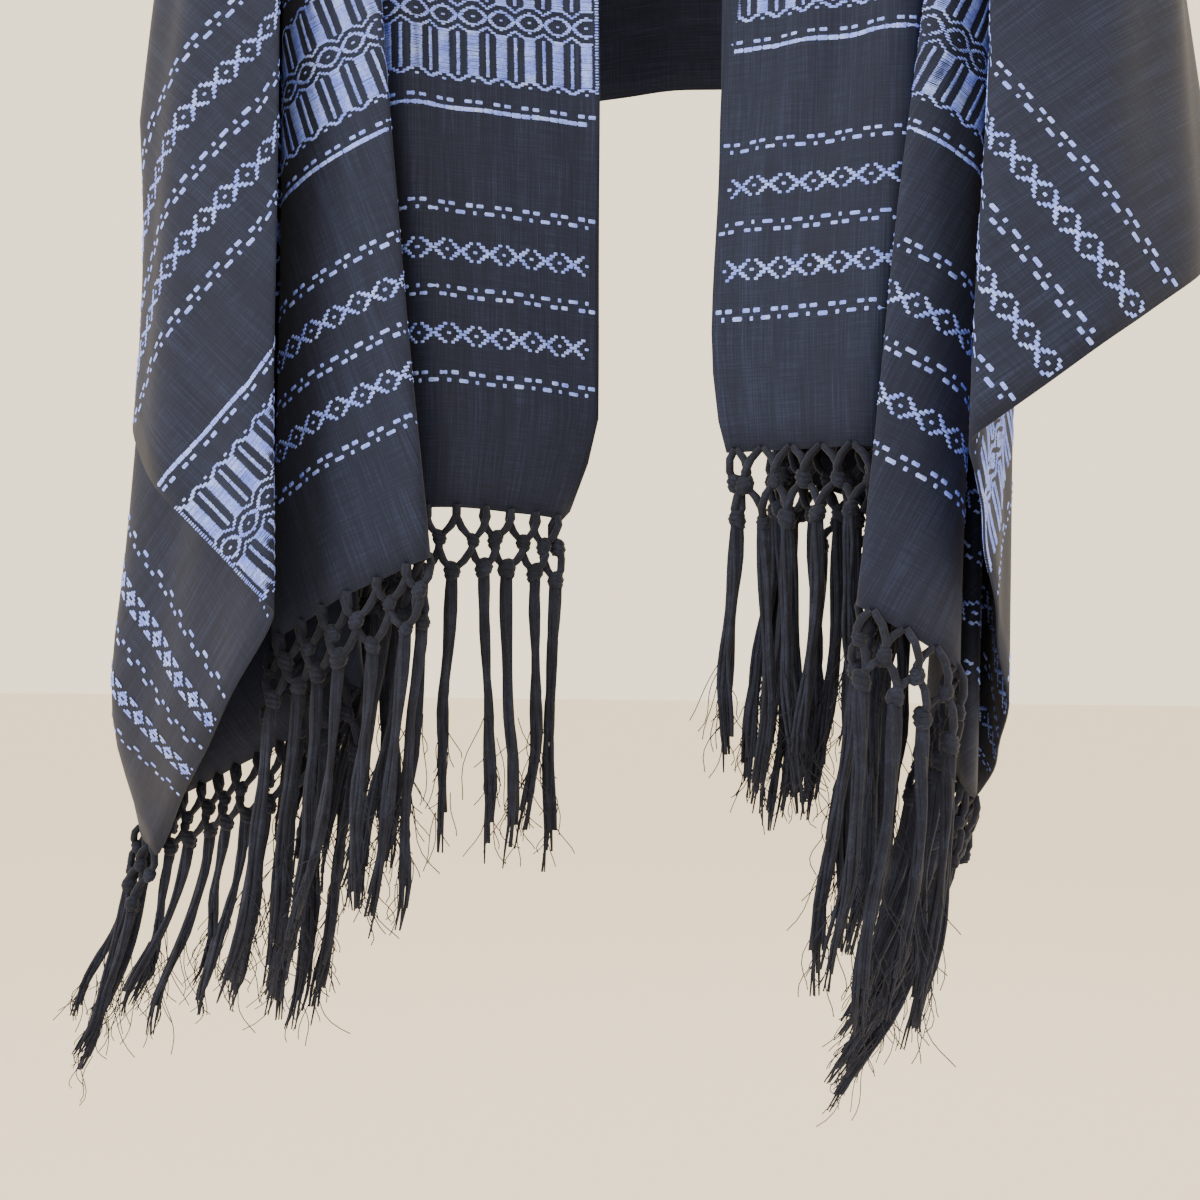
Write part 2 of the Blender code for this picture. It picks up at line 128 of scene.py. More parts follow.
# soft creases: angle of the ray, half width in degrees, height in metres (+ towards the face), from and to along the ray
CREASES = {
    "left": (
        (-11.0, 2.2, 0.0022, 0.25, 0.95), (-7.6, 1.6, -0.0018, 0.30, 0.85), (-4.2, 1.4, 0.0014, 0.20, 0.75),
        (-28.0, 7.0, 0.0030, 0.10, 0.60), (-48.0, 9.0, -0.0025, 0.06, 0.40),
        (18.4, 1.1, -0.0016, 0.30, 0.90), (20.3, 1.2, 0.0016, 0.20, 0.70), (21.6, 0.9, -0.0012, 0.35, 0.90),
        (39.8, 1.7, 0.0022, 0.45, 1.00), (42.4, 1.4, -0.0020, 0.40, 0.95),
        (47.6, 1.3, -0.0020, 0.20, 0.75), (49.6, 1.6, 0.0024, 0.30, 0.90), (52.4, 1.4, -0.0016, 0.25, 0.80),
        (56.0, 5.0, 0.0090, 0.08, 0.86), (57.0, 5.5, -0.0130, 0.60, 1.00), (62.0, 2.0, -0.0026, 0.25, 0.80), (67.0, 2.6, 0.0026, 0.20, 0.75),
        (76.0, 2.2, -0.0020, 0.25, 0.70), (83.0, 2.0, 0.0022, 0.25, 0.70),
    ),
    "right": (
        (-10.2, 1.9, 0.0024, 0.25, 0.95), (-7.8, 1.3, -0.0020, 0.35, 0.95), (-5.6, 1.2, 0.0012, 0.20, 0.80),
        (-30.0, 8.0, 0.0030, 0.08, 0.60), (-52.0, 9.0, -0.0024, 0.06, 0.40),
        (22.6, 0.9, -0.0012, 0.30, 0.95), (24.0, 0.8, 0.0014, 0.40, 0.95),
        (45.6, 1.6, 0.0018, 0.40, 0.95),
        (51.8, 1.2, -0.0018, 0.15, 0.70), (54.2, 1.8, 0.0026, 0.20, 0.85), (57.4, 1.5, -0.0022, 0.25, 0.85),
        (60.4, 1.7, 0.0026, 0.25, 0.85), (66.0, 2.4, -0.0026, 0.20, 0.80), (72.0, 2.6, 0.0024, 0.25, 0.75),
        (80.0, 2.0, -0.0022, 0.25, 0.70),
    ),
}
# the lower inner corner of each front: how far it curls outwards and hangs down
CURL = {"left": 0.017, "right": 0.006}
HANG = {"left": 0.006, "right": 0.0}
rng = np.random.default_rng(11)


# ---- small helpers -----------------------------------------------------------
def mesh_object(name, verts, faces, mat, smooth=True, uvs=None):
    mesh = bpy.data.meshes.new(name)
    mesh.from_pydata([tuple(map(float, v)) for v in verts], [], [tuple(int(i) for i in f) for f in faces])
    mesh.materials.append(mat)
    if smooth:
        mesh.polygons.foreach_set("use_smooth", [True] * len(mesh.polygons))
    if uvs is not None:
        layer = mesh.uv_layers.new(name="cloth")
        index = np.empty(len(mesh.loops), dtype=np.int32)
        mesh.loops.foreach_get("vertex_index", index)
        layer.data.foreach_set("uv", np.asarray(uvs, dtype=np.float32)[index].ravel())
    mesh.validate()
    ob = bpy.data.objects.new(name, mesh)
    bpy.context.scene.collection.objects.link(ob)
    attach(ob, "root")
    return ob


def new_material(name):
    mat = bpy.data.materials.new(name)
    mat.use_nodes = True
    return mat, mat.node_tree.nodes, mat.node_tree.links, mat.node_tree.nodes["Principled BSDF"]


def node(nodes, kind, **values):
    n = nodes.new(kind)
    for key, value in values.items():
        if key in n.inputs:
            n.inputs[key].default_value = value
        else:
            setattr(n, key, value)
    return n


def ramp(nodes, links, source, stops):
    r = nodes.new("ShaderNodeValToRGB")
    while len(r.color_ramp.elements) < len(stops):
        r.color_ramp.elements.new(0.5)
    for element, (at, colour) in zip(r.color_ramp.elements, stops):
        element.position = at
        element.color = (*colour, 1.0)
    links.new(source, r.inputs[0])
    return r.outputs[0]


def cloth_material():
    """Charcoal cotton: slubby warp along the length, finer weft across, a little sheen."""
    mat, nodes, links, shader = new_material("rebozo_cloth")
    uv = nodes.new("ShaderNodeUVMap")
    uv.uv_map = "cloth"
    warp = node(nodes, "ShaderNodeMapping")
    warp.inputs["Scale"].default_value = (1500.0, 28.0, 1.0)
    links.new(uv.outputs[0], warp.inputs[0])
    slub = node(nodes, "ShaderNodeTexNoise", Scale=1.0, Detail=3.0, Roughness=0.6)
    links.new(warp.outputs[0], slub.inputs["Vector"])
    weft = node(nodes, "ShaderNodeMapping")
    weft.inputs["Scale"].default_value = (60.0, 1300.0, 1.0)
    links.new(uv.outputs[0], weft.inputs[0])
    pick = node(nodes, "ShaderNodeTexNoise", Scale=1.0, Detail=2.0, Roughness=0.5)
    links.new(weft.outputs[0], pick.inputs["Vector"])
    broad = node(nodes, "ShaderNodeMapping")
    broad.inputs["Scale"].default_value = (130.0, 5.0, 1.0)
    links.new(uv.outputs[0], broad.inputs[0])
    band = node(nodes, "ShaderNodeTexNoise", Scale=1.0, Detail=2.0)
    links.new(broad.outputs[0], band.inputs["Vector"])
    mix = node(nodes, "ShaderNodeMath", operation="MULTIPLY_ADD")
    mix.inputs[1].default_value = 0.55
    links.new(slub.outputs[0], mix.inputs[0])
    half = node(nodes, "ShaderNodeMath", operation="MULTIPLY_ADD")
    half.inputs[1].default_value = 0.28
    links.new(pick.outputs[0], half.inputs[0])
    part = node(nodes, "ShaderNodeMath", operation="MULTIPLY")
    part.inputs[1].default_value = 0.22
    links.new(band.outputs[0], part.inputs[0])
    links.new(part.outputs[0], half.inputs[2])
    links.new(half.outputs[0], mix.inputs[2])
    colour = ramp(nodes, links, mix.outputs[0], ((0.30, (0.0038, 0.0064, 0.0200)), (0.52, (0.0074, 0.0122, 0.0350)), (0.72, (0.020, 0.030, 0.078))))
    links.new(colour, shader.inputs["Base Color"])
    bump = node(nodes, "ShaderNodeBump", Strength=0.35, Distance=0.0004)
    links.new(mix.outputs[0], bump.inputs["Height"])
    links.new(bump.outputs[0], shader.inputs["Normal"])
    shader.inputs["Roughness"].default_value = 0.78
    shader.inputs["Sheen Weight"].default_value = 0.06
    shader.inputs["Sheen Roughness"].default_value = 0.5
    shader.inputs["Specular IOR Level"].default_value = 0.25
    return mat


def thread_material(name, dark, mid, light, rough, sheen):
    """Cotton thread: small streaks of tone along the fibres."""
    mat, nodes, links, shader = new_material(name)
    coords = nodes.new("ShaderNodeTexCoord")
    fine = node(nodes, "ShaderNodeTexNoise", Scale=900.0, Detail=2.0)
    links.new(coords.outputs["Object"], fine.inputs["Vector"])
    wide = node(nodes, "ShaderNodeTexNoise", Scale=130.0, Detail=2.0)
    links.new(coords.outputs["Object"], wide.inputs["Vector"])
    mix = node(nodes, "ShaderNodeMath", operation="MULTIPLY_ADD")
    mix.inputs[1].default_value = 0.5
    part = node(nodes, "ShaderNodeMath", operation="MULTIPLY")
    part.inputs[1].default_value = 0.5
    links.new(wide.outputs[0], part.inputs[0])
    links.new(fine.outputs[0], mix.inputs[0])
    links.new(part.outputs[0], mix.inputs[2])
    links.new(ramp(nodes, links, mix.outputs[0], ((0.32, dark), (0.5, mid), (0.68, light))), shader.inputs["Base Color"])
    bump = node(nodes, "ShaderNodeBump", Strength=0.4, Distance=0.0003)
    links.new(mix.outputs[0], bump.inputs["Height"])
    links.new(bump.outputs[0], shader.inputs["Normal"])
    shader.inputs["Roughness"].default_value = rough
    shader.inputs["Sheen Weight"].default_value = sheen
    shader.inputs["Specular IOR Level"].default_value = 0.3
    return mat


# ---- the cloth as two cones ----------------------------------------------------
def rounded(rows, steps=10):
    points = [Vector((row[0], row[1])) for row in rows]
    line = [(points[0], 0.0)]
    for k in range(1, len(points) - 1):
        before, here, after = points[k - 1], points[k], points[k + 1]
        a, b = (before - here).length, (after - here).length
        cut_a, cut_b = min(rows[k][2], a * 0.5), min(rows[k][2], b * 0.5)
        start, end = here + (before - here) * (cut_a / a), here + (after - here) * (cut_b / b)
        for i in range(steps + 1):
            t = i / steps
            point = start * (1 - t) ** 2 + here * 2 * t * (1 - t) + end * t * t
            line.append((point, k - cut_a / a * max(0.0, 1 - 2 * t) + cut_b / b * max(0.0, 2 * t - 1)))
    line.append((points[-1], float(len(points) - 1)))
    return line


class Cone:
    def __init__(self, side):
        self.side = side
        self.sign = -1.0 if side == "left" else 1.0
        self.end, self.inner = SIDES[side]["end"], SIDES[side]["inner"]
        kick, kick_at = math.radians(SIDES[side]["kick"]), SIDES[side]["kick_at"]
        turn, turn_at = math.radians(SIDES[side]["turn"]), SIDES[side]["turn_at"]
        r = np.linspace(0.0, 1.3, 521)
        b = kick * 0.5 * (1 + np.cos(np.pi * np.clip((r - kick_at) / KICK_HALF, -1, 1)))
        b += turn * 0.5 * (1 + np.cos(np.pi * np.clip((r - turn_at) / TURN_HALF, -1, 1)))
        step = r[1] - r[0]
        self.r_table = r
        self.down = np.concatenate(([0], np.cumsum(np.cos(b[:-1]) * step)))
        self.forward = np.concatenate(([0], np.cumsum(np.sin(b[:-1]) * step)))
        angles, ways, numbers = [], [], []
        angle, last, before = SECTIONS[side]["start"], None, 0.0
        for point, number in rounded(SECTIONS[side]["rows"]):
            way = Vector((point[0], point[1], -1.0)).normalized()
            if last is not None:
                step = math.degrees(last.angle(way, 0.0))
                for row, tuck in TUCKS[side].items():
                    if before < row <= number:
                        step += tuck
                if step > 0.45:
                    n = int(step / 0.4) + 1
                    for i in range(1, n):
                        ways.append(last.lerp(way, i / n).normalized())
                        angles.append(angle + step * i / n)
                        numbers.append(before + (number - before) * i / n)
                angle += step
            if last is None or step > 1e-4:
                ways.append(way)
                angles.append(angle)
                numbers.append(number)
            last, before = way, number
        # the corner between the first ray and the bar
        first = ways[0].copy()
        along = Vector((1.0, 0.0, 0.0))
        axis, whole = first.cross(along).normalized(), first.angle(along)
        start = angles[0]
        arm_a, arm_w, arm_n = [], [], []
        for i in range(50, 0, -1):
            t = i / 50 * 0.992
            way = first.copy()
            way.rotate(Quaternion(axis, whole * t))
            arm_a.append(start + (-90.0 - start) * t)
            arm_w.append(way)
            arm_n.append(-t)
        self.angles = np.array(arm_a + angles)
        self.ways = np.array([list(w) for w in arm_w + ways])
        self.numbers = np.array(arm_n + numbers)
        rows = np.array(SHIFTS[side], dtype=float)
        self.mark_angles = np.interp(rows[:, 0], self.numbers, self.angles)
        self.mark_across, self.mark_along = rows[:, 1], rows[:, 2]
        t = np.clip((self.angles - 54.0) / 14.0, 0, 1)
        self.face = -np.cos(np.pi * t)
        # section normals, on the face side
        d = np.gradient(self.ways, axis=0)
        normal = np.cross(d, self.ways)
        normal /= np.linalg.norm(normal, axis=1)[:, None]
        self.normals = normal
        k = int(np.argmin(abs(self.angles + 10.0)))
        self.flip = 1.0 if normal[k][1] < 0 else -1.0

    def shift(self, angles):
        return np.interp(angles, self.mark_angles, self.mark_across), np.interp(angles, self.mark_angles, self.mark_along)

    def reach(self, angles):
        a = np.radians(angles)
        across, along = self.shift(angles)
        outer = CLOTH_W - self.inner - across
        r = np.where(np.cos(a) > 1e-6, (self.end + along) / np.maximum(np.cos(a), 1e-6), 9.0)
        r = np.minimum(r, np.where(np.sin(a) > 1e-6, outer / np.maximum(np.sin(a), 1e-6), 9.0))
        return np.minimum(r, np.where(np.sin(a) < -1e-6, self.inner / np.maximum(-np.sin(a), 1e-6), 9.0))

    def lift(self, angle, r):
        """Height of the creases over the plain cone."""
        h = np.zeros_like(r)
        for at, half, height, r0, r1 in CREASES[self.side]:
            across = np.exp(-((angle - at) / half) ** 2)
            t = np.clip((r - r0) / (r1 - r0), 0, 1)
            h += height * across * np.sin(np.pi * np.clip(t, 0, 1) ** 0.7) ** 1.2
        hidden = np.clip((r - 0.10) / 0.2, 0, 1)
        h += 0.0009 * hidden * np.sin(angle * 1.9 + 3.0 * np.sin(r * 9.0 + self.sign) + 1.3)
        return h

    def at(self, c, r):
        """Points on column numbers c (whole numbers) at r, with creases."""
        down, forward = np.interp(r, self.r_table, self.down), np.interp(r, self.r_table, self.forward)
        p = self.ways[c] * down[:, None] + self.normals[c] * (self.flip * self.lift(self.angles[c], r))[:, None]
        # the inner corner curls outwards and hangs a little
        a = np.radians(self.angles[c])
        s, t = self.inner + r * np.sin(a), self.end + self.mark_along[0] - r * np.cos(a)
        near = np.exp(-np.clip(s, 0, None) / 0.05) * (self.numbers[c] < 3.0)
        curl = np.clip((0.050 - t) / 0.050, 0, 1) ** 1.4
        p[:, 0] -= CURL[self.side] * near * curl + 0.004 * near * np.clip((0.22 - t) / 0.2, 0, 1)
        p[:, 2] -= HANG[self.side] * near * np.clip((0.5 - t) / 0.3, 0, 1)
        return np.stack([self.sign * (TIP_X - p[:, 0]), self.face[c] * FACE_Y + p[:, 1] - forward, BAR_Z + p[:, 2]], axis=1)

    def surface(self, angle, r):
        """Points and face-side normals at any angle and r."""
        angle = np.clip(angle, self.angles[0], self.angles[-1] - 1e-6)
        c = np.clip(np.searchsorted(self.angles, angle, side="right") - 1, 0, len(self.angles) - 2)
        w = ((angle - self.angles[c]) / (self.angles[c + 1] - self.angles[c]))[:, None]
        p0, p1 = self.at(c, r), self.at(c + 1, r)
        p = p0 * (1 - w) + p1 * w
        low = self.at(c, r + 0.004) * (1 - w) + self.at(c + 1, r + 0.004) * w
        n = np.cross(p1 - p0, low - p)
        n /= np.maximum(np.linalg.norm(n, axis=1), 1e-12)[:, None]
        return p, n * (self.flip * self.sign * -1.0)

    def flat(self, s, t):
        """Surface at s across from the inner selvedge and t up from the fringe."""
        low, high = np.full_like(s, self.angles[0]), np.full_like(s, self.angles[-1])
        for _ in range(34):      # the shifts make this a search, by halving
            angle = (low + high) / 2
            a = np.radians(angle)
            across, along = self.shift(angle)
            dx, dy = s - self.inner - across, self.end + along - t
            beyond = dx * np.cos(a) - dy * np.sin(a) > 0
            low, high = np.where(beyond, angle, low), np.where(beyond, high, angle)
        return self.surface(angle, np.hypot(dx, dy))


cones = {side: Cone(side) for side in SIDES}


def cloth_side(cone, verts, faces, uvs):
    rows = 40
    base = len(verts)
    cols = len(cone.angles)
    reach = cone.reach(cone.angles)
    c = np.arange(cols)
    for j in range(rows + 1):
        f = (j / rows) ** 0.85
        r = CAP_R + (reach - CAP_R) * f
        verts.extend(cone.at(c, r))
        a = np.radians(cone.angles)
        across, along = cone.shift(cone.angles)
        s = cone.inner + across + r * np.sin(a)
        t = cone.end + along - r * np.cos(a)
        uvs.extend(np.stack([s + (0 if cone.side == "left" else 1.0), t], axis=1))
    for j in range(rows):
        for i in range(cols - 1):
            a = base + j * cols + i
            quad = (a, a + 1, a + cols + 1, a + cols)
            faces.append(quad if cone.side == "left" else quad[::-1])


def cloth_back(verts, faces, uvs):
    """Over the bar: the turned-down top in front, round the bar, and down the back to the lower selvedge."""
    left, right = cones["left"], cones["right"]
    cl, cr = len(left.angles) - 1, len(right.angles) - 1
    across = 90
    base = len(verts)
    lines = []
    u = np.linspace(0, 1, across + 1)
    for k in range(12, 0, -1):
        drop = TOP_FOLD * k / 12
        y = -FACE_Y + 0.0018 + 0.05 * drop + 0.0022 * np.sin(u * 19 + 1.0) * (k / 12) ** 1.4
        x0 = -TIP_X + 0.016 + drop * (left.inner - 0.016) / TOP_FOLD
        x1 = TIP_X - 0.016 - drop * (right.inner - 0.016) / TOP_FOLD
        sag = 0.0015 * np.sin(u * 11)
        lines.append((np.stack([x0 + (x1 - x0) * u, y, np.full_like(u, BAR_Z) - drop + sag * (k / 12)], axis=1), -drop))
    for k in range(11):
        a = math.pi * (k / 10 - 0.5)
        y, z = (FACE_Y - 0.0002) * math.sin(a), BAR_Z + 0.0004 + (FACE_Y - 0.0002) * math.cos(a)
        lines.append((np.stack([-TIP_X + 2 * TIP_X * u, np.full_like(u, y), np.full_like(u, z)], axis=1), 0.003 * k))
    drop_all = CLOTH_W - 0.5 * (left.inner + right.inner)
    for k in range(1, 41):
        arch = np.sin(np.pi * u)
        drop = drop_all - HEM_RISE * arch
        r = 0.004 + (drop - 0.004) * k / 40
        a = left.at(np.full(across + 1, cl), r)
        b = right.at(np.full(across + 1, cr), r)
        p = a * (1 - u)[:, None] + b * u[:, None]
        f = (r / drop)
        p[:, 1] += 0.006 * f ** 2 * np.sin(5 * np.pi * u) * arch + 0.0022 * f * np.sin(17 * u + 2 * f) * arch + 0.0016 * f * np.sin(41 * u + 4.0 * f) * arch
        lines.append((p, 0.03 + drop_all * k / 40))
    for points, along in lines:
        verts.extend(points)
        uvs.extend(np.stack([np.full_like(u, 0.2 + along), 2.0 + 0.365 * u], axis=1))
    n = across + 1
    for j in range(len(lines) - 1):
        for i in range(across):
            a = base + j * n + i
            faces.append((a, a + n, a + n + 1, a + 1))


cloth_mat = cloth_material()
blue_mat = thread_material("brocade_thread", (0.120, 0.190, 0.820), (0.215, 0.315, 1.0), (0.40, 0.54, 1.0), 0.6, 0.04)
strand_mat = thread_material("fringe_thread", (0.0026, 0.0045, 0.0140), (0.0055, 0.0088, 0.0250), (0.014, 0.020, 0.048), 0.85, 0.06)

verts, faces, uvs = [], [], []
for cone in cones.values():
    cloth_side(cone, verts, faces, uvs)
cloth_back(verts, faces, uvs)
cloth = mesh_object("shawl_cloth", verts, faces, cloth_mat, uvs=uvs)
shell = cloth.modifiers.new("wall", "SOLIDIFY")
shell.thickness = WALL
shell.offset = 0.0
bodies = [s + "_" + n for s in SIDES for n in ("inner_panel", "pleat", "under_layer", "folded_layer", "side_panel", "back_fold", "arm_panel", "shoulder")]
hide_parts(*bodies, "back_panel", "over_bar", "turned_top")

# ---- brocade: weft floats, charted in sixteenths of a repeat -----------------------
REPEAT = 0.01445
UNIT = REPEAT / 16.0
FIRST = 0.45 * REPEAT
# small diamond: row of the chart, then floats from and to, mirrored about the middle where they don't cross it
DIAMOND = (
    (0, ((-1.15, 1.15), (5.7, 10.3))),
    (1, ((4.0, 7.5), (8.5, 12.0))),
    (2, ((2.6, 5.7), (10.3, 13.4))),
    (3, ((1.0, 3.3), (12.7, 15.0))),
)
DIAMOND_BACK = (
    (0, ((1.4, 5.4), (10.6, 14.6))),
    (1, ((-3.8, 3.8),)),
    (2, ((-2.4, 2.4), (6.0, 10.0))),
    (3, ((-0.8, 0.8), (4.0, 12.0))),
)
DOUBLE = ((-5.05, -0.95), (0.95, 5.05))
LONG_DOT = ((5.15, 10.85), (-1.05, 1.05))
DOUBLE_BACK = ((5.4, 10.6),)
LONG_DOT_BACK = ((1.5, 4.8), (11.2, 14.5))
# middle of the wide band: diamonds between zigzags
MIDDLE = (
    (0, ((-1.1, 1.1), (5.8, 10.2))),
    (1, ((4.9, 7.7), (8.3, 11.1))),
    (2, ((3.9, 6.9), (9.1, 12.1))),
    (3, ((2.5, 5.7), (10.3, 13.5))),
    (4, ((-3.9, 3.9),)),
    (5, ((-1.1, 1.1), (6.7, 9.3))),
    (6, ((5.0, 7.4), (8.6, 11.0))),
    (7, ((3.3, 6.0), (10.0, 12.7))),
    (8, ((-4.2, 4.2),)),
)
MIDDLE_BACK = (
    (0, ((1.4, 5.5), (10.5, 14.6))),
    (1, ((-4.5, 4.5),)),
    (2, ((-3.5, 3.5), (7.2, 8.8))),
    (3, ((-2.2, 2.2), (6.0, 10.0))),
    (4, ((4.2, 11.8),)),
    (5, ((1.5, 6.3), (9.7, 14.5))),
    (6, ((-4.6, 4.6),)),
    (7, ((-3.0, 3.0), (6.3, 9.7))),
    (8, ((4.6, 11.4),)),
)
EDGE = (
    (0.6, ((-5.2, -1.2), (1.2, 5.2))),
    (1.6, ((3.9, 7.0), (9.0, 12.1))),
    (2.6, ((5.6, 10.4), (-1.1, 1.1))),
)
# the bands, up from the fringe, in metres
PAIRS = ((0.063, 1), (0.105, -1), (0.147, 1), (0.340, 1), (0.382, -1), (0.425, 1))
DIAMOND_ROWS = (0.084, 0.1255, 0.362, 0.404)
SOLIDS = ((0.197, 1), (0.291, -1))
STRIPES = ((0.2140, 0.2360), (0.2520, 0.2735))
BAND_MIDDLE = 0.2440


def chart():
    """Every float as s from, s to, t of its middle, its width along the warp, and which face it lies on."""
    out = []

    def row(t, spans, width, face):
        k = -1
        while True:
            k += 1
            middle = FIRST + k * REPEAT
            if middle - 8 * UNIT > CLOTH_W:
                break
            for a, b in spans:
                s0, s1 = middle + a * UNIT, middle + b * UNIT
                s0, s1 = max(s0, 0.0015), min(s1, CLOTH_W - 0.0015)
                if s1 - s0 > 0.0007:
                    out.append((s0, s1, t, width, face))

    for t in DIAMOND_ROWS:
        for i, spans in DIAMOND:
            for way in ((1, -1) if i else (1,)):
                row(t + way * i * 0.00146, spans, 0.00136, 1)
        for i, spans in DIAMOND_BACK:
            for way in ((1, -1) if i else (1,)):
                row(t + way * i * 0.00146, spans, 0.00136, -1)
    for t, way in PAIRS:
        row(t + way * 0.0019, DOUBLE, 0.0019, 1)
        row(t - way * 0.0019, LONG_DOT, 0.0019, 1)
        row(t + way * 0.0019, DOUBLE_BACK, 0.0019, -1)
        row(t - way * 0.0019, LONG_DOT_BACK, 0.0019, -1)
    for t, way in SOLIDS:
        for n, start in enumerate((0.0, 5.33, 10.67)):
            row(t, ((start - 0.2, start + 5.5),), 0.0022, 1)
            row(t, ((start + 2.0, start + 3.6),), 0.0018, -1)
        row(t + way * 0.0039, DOUBLE, 0.0018, 1)
        row(t + way * 0.0039, DOUBLE_BACK, 0.0018, -1)
    for t0, t1 in STRIPES:
        n = int((t1 - t0) / 0.00072)
        for i in range(n):
            t = t0 + (i + 0.5) * (t1 - t0) / n
            row(t, ((-3.3, 3.3), (7.0, 9.0)), 0.00070, 1)
            row(t, ((3.5, 6.8), (9.2, 12.5)), 0.00070, -1)
    for i, spans in MIDDLE:
        for way in ((1, -1) if i else (1,)):
            row(BAND_MIDDLE + way * i * 0.00098, spans, 0.00096, 1)
    for i, spans in MIDDLE_BACK:
        for way in ((1, -1) if i else (1,)):
            row(BAND_MIDDLE + way * i * 0.00098, spans, 0.00096, -1)
    for t, way in ((STRIPES[0][0], -1), (STRIPES[1][1], 1)):
        for off, spans in EDGE:
            row(t + way * off * 0.001, spans, 0.00115, 1)
    # the pattern weft turning at each selvedge of the wide band
    for i in range(46):
        t = 0.2125 + i * 0.00142
        for s in (0.0004, CLOTH_W - 0.0022):
            out.append((s, s + 0.0018, t, 0.0008, 1))
            out.append((s, s + 0.0018, t, 0.0008, -1))
    return np.array(out)


def brocade(cone):
    """The floats as low rounded bars lying on the cloth."""
    data = chart()
    n = len(data)
    jitter = rng.normal(0, 1, (n, 4))
    s0 = data[:, 0] + jitter[:, 0] * 0.00010
    s1 = data[:, 1] + jitter[:, 1] * 0.00010
    t = data[:, 2] + jitter[:, 2] * 0.00008
    w = data[:, 3] * (1 + 0.06 * jitter[:, 3])
    face = data[:, 4]
    rows = []
    # a tip, two crowned sections, a tip
    body = [(along, across, across == 0.0) for along in (0.10, 0.90) for across in (-0.5, 0.0, 0.5)]
    for along, across, high in [(0.0, 0.0, False), *body, (1.0, 0.0, False)]:
        p, normal = cone.flat(s0 + (s1 - s0) * along, t + w * across)
        up = WALL * 0.5 + (0.00042 if high else 0.00004)
        rows.append(p + normal * (face * up)[:, None])
    points = np.stack(rows, axis=1)
    verts = points.reshape(-1, 3)
    faces = []
    for k in range(n):
        b = k * 8
        for i in range(2):
            for patch in ((0, 1 + i, 2 + i), (1 + i, 4 + i, 5 + i, 2 + i), (4 + i, 7, 5 + i)):
                patch = tuple(b + v for v in patch)
                faces.append(patch if (face[k] > 0) == (cone.side == "left") else patch[::-1])
    ob = mesh_object(cone.side + "_brocade", verts, faces, blue_mat)
    return ob


brocades = [brocade(cone) for cone in cones.values()]


# ---- fringe -----------------------------------------------------------------------
class Tubes:
    def __init__(self):
        self.verts, self.faces = [], []

    def tube(self, points, radii, sides=5, flat=1.0):
        """A round or flattened tube through points."""
        points = np.asarray(points, dtype=float)
        radii = np.broadcast_to(np.asarray(radii, dtype=float), (len(points),))
        d = np.gradient(points, axis=0)
        d /= np.maximum(np.linalg.norm(d, axis=1), 1e-9)[:, None]
        ref = np.array([0.0, 1.0, 0.0])
        a = np.cross(d, ref)
        small = np.linalg.norm(a, axis=1) < 1e-3
        a[small] = (1.0, 0.0, 0.0)
        a /= np.linalg.norm(a, axis=1)[:, None]
        b = np.cross(a, d)
        base = len(self.verts)
        for k in range(len(points)):
            for i in range(sides):
                q = 2 * math.pi * i / sides
                self.verts.append(points[k] + radii[k] * (a[k] * math.cos(q) + b[k] * math.sin(q) * flat))
        for k in range(len(points) - 1):
            for i in range(sides):
                m = base + k * sides
                j = (i + 1) % sides
                self.faces.append((m + i, m + j, m + sides + j, m + sides + i))
        self.faces.append(tuple(base + i for i in range(sides))[::-1])
        self.faces.append(tuple(base + (len(points) - 1) * sides + i for i in range(sides)))

    def knot(self, p, size, tilt):
        """A tight overhand knot: a plump wrap with a cross strand."""
        for k, (lift, r, turn) in enumerate(((0.0, 1.0, 0.0), (-0.45, 0.82, 0.5), (0.45, 0.80, -0.4))):
            ring = []
            for i in range(9):
                q = 2 * math.pi * i / 8
                ring.append(p + np.array([math.cos(q) * size * 0.62 * r, math.sin(q) * size * 0.55 * r, size * (lift + 0.28 * math.sin(q + tilt + turn))]))
            self.tube(ring, size * 0.46, 6)
        self.tube([p + np.array([0, 0, size * 0.9]), p, p - np.array([0, 0, size * 0.9])], size * 0.62, 6)


